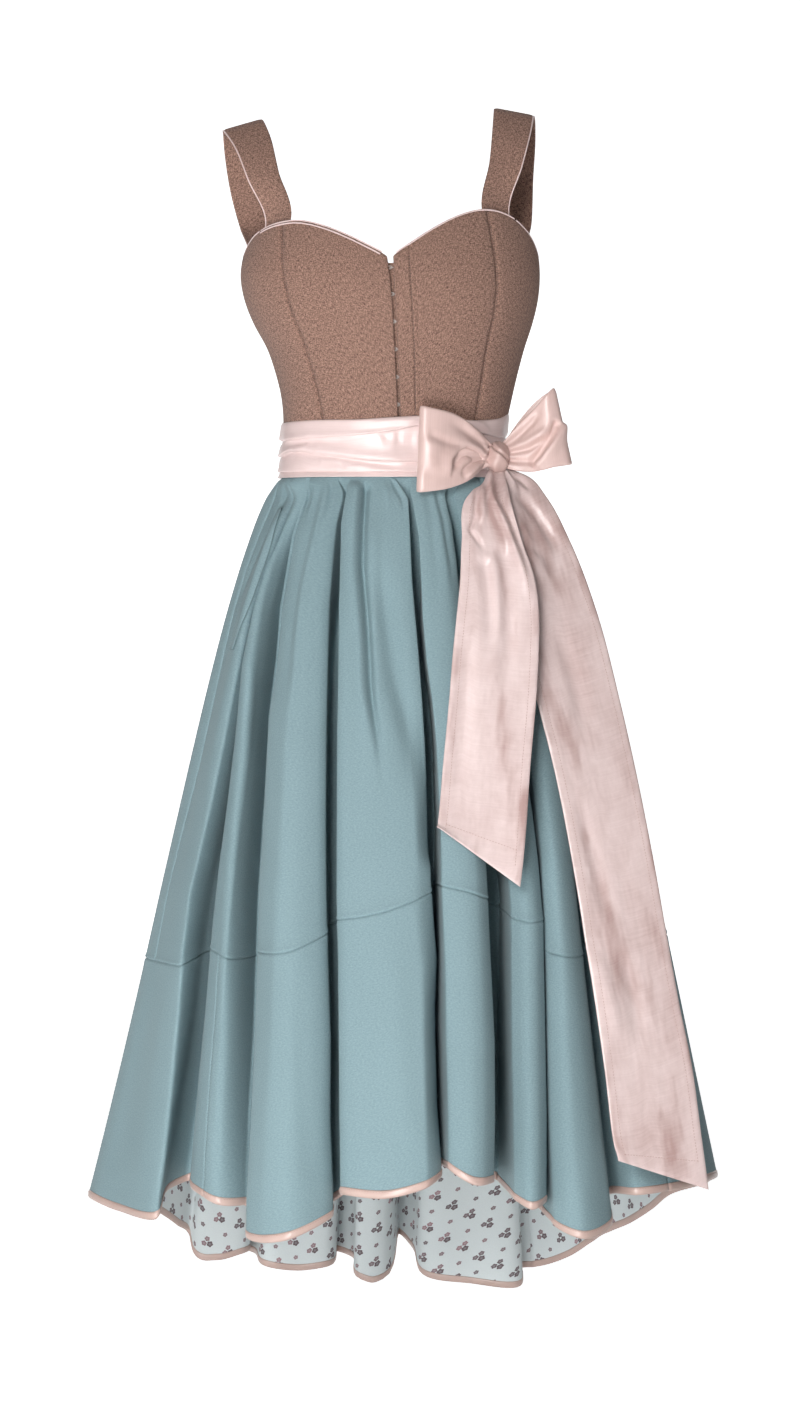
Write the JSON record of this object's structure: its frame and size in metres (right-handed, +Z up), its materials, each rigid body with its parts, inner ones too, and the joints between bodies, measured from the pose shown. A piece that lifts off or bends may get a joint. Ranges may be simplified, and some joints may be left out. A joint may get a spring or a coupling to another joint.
{
  "type": "dirndl dress",
  "caption": "Sleeveless dirndl dress, filled out: sweetheart bodice with wide straps, tied satin sash with a bow, and a flared skirt with a high-low flounce.",
  "frame": {"origin": "at shoulder level, midway between the armholes, where the wearer's shoulders hold the straps", "axes": "+Z up, the front of the dress faces -Y, +X is the viewer's right from the front"},
  "size_m": [0.6943, 0.6388, 1.3399],
  "materials": {
    "brown_cloth": "matte",
    "pink_satin": "satin",
    "teal_twill": "matte",
    "printed_lining": "matte"
  },
  "bodies": {
    "root": {"bodice_back_centre_left": "brown_cloth", "bodice_back_centre_right": "brown_cloth", "bodice_back_side_left": "brown_cloth", "bodice_back_side_right": "brown_cloth", "bodice_front_centre_left": "brown_cloth", "bodice_front_centre_right": "brown_cloth", "bodice_front_side_left": "brown_cloth", "bodice_front_side_right": "brown_cloth", "bodice_under_placket": "brown_cloth", "bow_loop_left": "pink_satin", "bow_loop_right": "pink_satin", "flounce_back_left": "teal_twill", "flounce_back_right": "teal_twill", "flounce_front": "teal_twill", "hem_binding_back_left": "pink_satin", "hem_binding_back_right": "pink_satin", "hem_binding_front": "pink_satin", "lining_back_left": "printed_lining", "lining_back_right": "printed_lining", "piping_armhole_left": "pink_satin", "piping_armhole_right": "pink_satin", "piping_back": "pink_satin", "piping_neck_left": "pink_satin", "piping_neck_right": "pink_satin", "pocket_welt_left": "teal_twill", "pocket_welt_right": "teal_twill", "sash_band": "pink_satin", "sash_knot": "pink_satin", "sash_tail_long": "pink_satin", "sash_tail_short": "pink_satin", "skirt_back_left": "teal_twill", "skirt_back_right": "teal_twill", "skirt_front": "teal_twill", "strap_left": "brown_cloth", "strap_right": "brown_cloth"}
  },
  "joints": []
}
